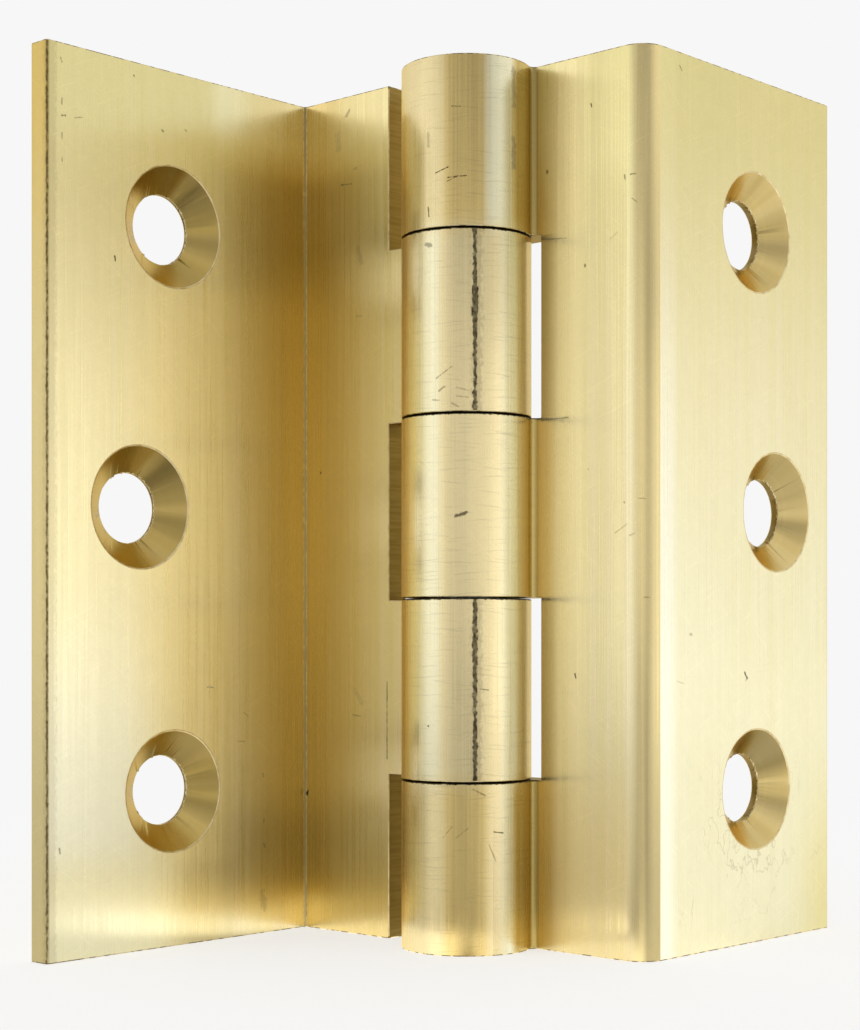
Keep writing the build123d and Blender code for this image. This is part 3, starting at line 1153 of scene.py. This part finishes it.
def cropped_steel(name):
    material, bench, point = finish_bench(name)
    x, y, z = split(point)
    radius = from_line(x, y, pin_place)
    rings = grain(vector(bench, radius, z=z * 0.05), (6.0, 1.0, 1.0), 2.0, 4.0)
    cloud = grain(point, (0.7, 0.7, 0.7), 2.0, 7.0)
    colour = tint(cloud.rise(0.3, 0.7), (0.42, 0.40, 0.37, 1), (0.60, 0.58, 0.54, 1))
    colour = shade(colour, 0.85 + 0.3 * rings)
    metal(bench, colour, 0.28 + 0.2 * cloud, rings, depth=0.004, edge_tint=no_tint)
    return material


pin_finish = cropped_steel("cropped_steel")
pin_solid = frame["nodes"]["hinge_pin"]
for place in pin_solid.material_slots:
    place.material = pin_finish
print("pin finish on", pin_solid.name, "slots", len(pin_solid.material_slots))

# %% [markdown]
# ## Camera
# The photo was taken from about 150 mm away, at a third of the hinge's height. The camera was
# solved from the hinge's straight edges and hole centres. It looks level, so the uprights stay
# upright, and the lens is shifted to frame it.

# %% Camera
photo_height = 1030
focal_pixels = 2010.6
horizon_row = 635.8
sensor = 36
eye = pin_axis - 2.666 * mm * right - 147.03 * mm * forward
eye.z = 22.72 * mm
lens = bpy.data.cameras.new("camera")
camera = put("camera", lens)
lens.sensor_width = sensor
lens.lens = focal_pixels / photo_height * sensor
lens.shift_y = (horizon_row - photo_height / 2) / photo_height
lens.clip_start = 10 * mm
axes = Matrix((right, Vector((0, 0, 1)), -forward)).transposed().to_4x4()
camera.matrix_world = Matrix.Translation(eye) @ axes
bpy.context.scene.camera = camera
print("lens", round(lens.lens, 1), "mm, eye at", [round(side / mm, 1) for side in eye], "mm")

# %% [markdown]
# ## Softboxes
# Polished metal is seen by what it mirrors, so each lamp is a large soft panel set where a
# face of the hinge mirrors it: one for the left flange's step, one for the front of the
# barrel, two for the right side. A panel's strength is given as the brightness of its mirror
# image, so that it can be read off the photo.

# %% Softboxes
toward_camera = -forward
hinge_middle = Vector((0, 0, hinge_height / 2))
lamp_distance = 0.4
plain = (1.0, 1.0, 1.0)
cool = (0.97, 1.0, 1.08)


def bearing(azimuth, elevation):
    """A direction by degrees to the right of the camera and above the floor."""
    turn = math.radians(azimuth)
    tilt = math.radians(elevation)
    level = toward_camera * math.cos(turn) + right * math.sin(turn)
    return level * math.cos(tilt) + Vector((0, 0, math.sin(tilt)))


def softbox(name, azimuth, elevation, half_width, half_height, brightness, colour):
    """A lamp facing the hinge, its size in degrees as seen from there."""
    lamp = bpy.data.lights.new(name, "AREA")
    lamp.shape = "RECTANGLE"
    lamp.size = 2 * lamp_distance * math.tan(math.radians(half_width))
    lamp.size_y = 2 * lamp_distance * math.tan(math.radians(half_height))
    lamp.energy = brightness * math.pi * lamp.size * lamp.size_y
    lamp.color = colour
    holder = put(name, lamp)
    direction = bearing(azimuth, elevation)
    holder.location = hinge_middle + direction * lamp_distance
    holder.rotation_mode = "QUATERNION"
    holder.rotation_quaternion = direction.to_track_quat("Z", "Y")
    print(name, round(lamp.energy, 4), "W")


softbox("left_softbox", -68, 8, 30, 14, 0.27, plain)
softbox("front_softbox", 20, 3, 14, 6, 0.2, plain)
softbox("right_softbox", 64, 1, 24, 9, 0.44, cool)
softbox("far_softbox", 80, 2, 10, 12, 0.36, cool)

# %% [markdown]
# ## The white room
# The photo has a plain white ground. Rays from the camera see that white, and so do rays by
# way of metal, except towards the photographer's side of the room: there the barrel and the
# corner mirror a dimmer room with a band of window light, and the ceiling is a little dimmer
# too. Everything else is lit by an even, weaker sky.

# %% Room
white = 0.93
sky_light = 0.5
room_light = 0.38
window_light = 0.36
ceiling_dim = 0.4


def facing(direction, axis):
    return vector_math(direction.bench, "DOT_PRODUCT", {0: direction, 1: tuple(axis)}, "Value")


def seen_rays(bench):
    """1 for rays from the camera, and 1 for rays by way of metal or glass."""
    camera_rays = bench.node("ShaderNodeLightPath", out="Is Camera Ray")
    metal_rays = camera_rays.other("Is Glossy Ray") + camera_rays.other("Is Transmission Ray")
    return camera_rays, metal_rays.at_most(1.0)


world = bpy.data.worlds.new("studio")
bpy.context.scene.world = world
world.use_nodes = True
bench = Bench(world.node_tree)
camera_rays, metal_rays = seen_rays(bench)
seen = (camera_rays + metal_rays).at_most(1.0)
direction = bench.node("ShaderNodeTexCoord", out="Generated")
lift = facing(direction, (0, 0, 1))
room = facing(direction, toward_camera).rise(0.35, 0.97)
window = lift.rise(-0.13, 0.03) * lift.rise(0.28, 0.12)
backdrop = white * (1 - room) + (room_light + window_light * window) * room
backdrop = backdrop * (1 - ceiling_dim * lift.rise(0.72, 0.96))
strength = camera_rays * white + metal_rays * backdrop + (1 - seen) * sky_light
sky = bench.node("ShaderNodeBackground", {}, {"Color": (1, 1, 1, 1), "Strength": strength})
bench.node("ShaderNodeOutputWorld", {}, {"Surface": sky})
print("room nodes", len(world.node_tree.nodes))

# %% [markdown]
# ## The floor
# The hinge stands on white paper. The paper takes the lamps' light and the hinge's soft
# shadow, and a glow lifts it to the ground's white. What the metal mirrors of it is uneven, as
# in the photo: bright to the right, behind and close by, darker in front. Past the shadow's
# reach the camera sees the plain ground, so that no lamp pool or horizon shows.

# %% Floor
floor_half = 2.0
paper_white = 0.6
glow_white = 0.63
shadow_reach, fade_reach = 60, 150
corner_signs = ((-1, -1), (1, -1), (1, 1), (-1, 1))
corners = [(floor_half * x, floor_half * y, 0) for x, y in corner_signs]
floor_mesh = bpy.data.meshes.new("floor")
floor_mesh.from_pydata(corners, [], [range(len(corners))])
floor = put("floor", floor_mesh)

material, bench, point = finish_bench("floor_paper")
camera_rays, metal_rays = seen_rays(bench)
from_pin = vector_math(bench, "SUBTRACT", {0: point, 1: (*pin_place, 0)})
distance = vector_math(bench, "LENGTH", {0: from_pin}, "Value")
side = facing(from_pin, right) / distance
ahead = facing(from_pin, toward_camera) / distance
around = 0.26 + 0.58 * side.rise(-0.25, -0.9) + 1.18 * side.rise(0.15, 0.92)
around = around.at_least(1.2 * ahead.rise(0.0, -0.4)) * (1 - 0.16 * ahead.rise(0.1, -0.2))
close_by = (1.5 * side.rise(-0.1, 0.3)).at_least(1.95 * side.rise(0.1, -0.35)) * distance.rise(21, 13)
glow_level = glow_white * (camera_rays + metal_rays * around.at_least(close_by))
paper = bench.node("ShaderNodeBsdfDiffuse", {}, {"Color": (paper_white, paper_white, paper_white, 1)})
glow = bench.node("ShaderNodeEmission", {}, {"Color": shade((1, 1, 1), glow_level)})
both = bench.node("ShaderNodeAddShader", {}, {0: paper, 1: glow})
far_off = camera_rays * distance.rise(shadow_reach, fade_reach)
far_white = bench.node("ShaderNodeEmission", {}, {"Color": (white, white, white, 1)})
ground = bench.node("ShaderNodeMixShader", {}, {0: far_off, 1: both, 2: far_white})
bench.node("ShaderNodeOutputMaterial", {}, {"Surface": ground})
floor_mesh.materials.append(material)
print("floor", 2 * floor_half, "m wide, nodes", len(material.node_tree.nodes))

# %% [markdown]
# ## Display colours
# The picture is set to plain display colours.

# %% Display colours
bpy.context.scene.view_settings.view_transform = "Standard"
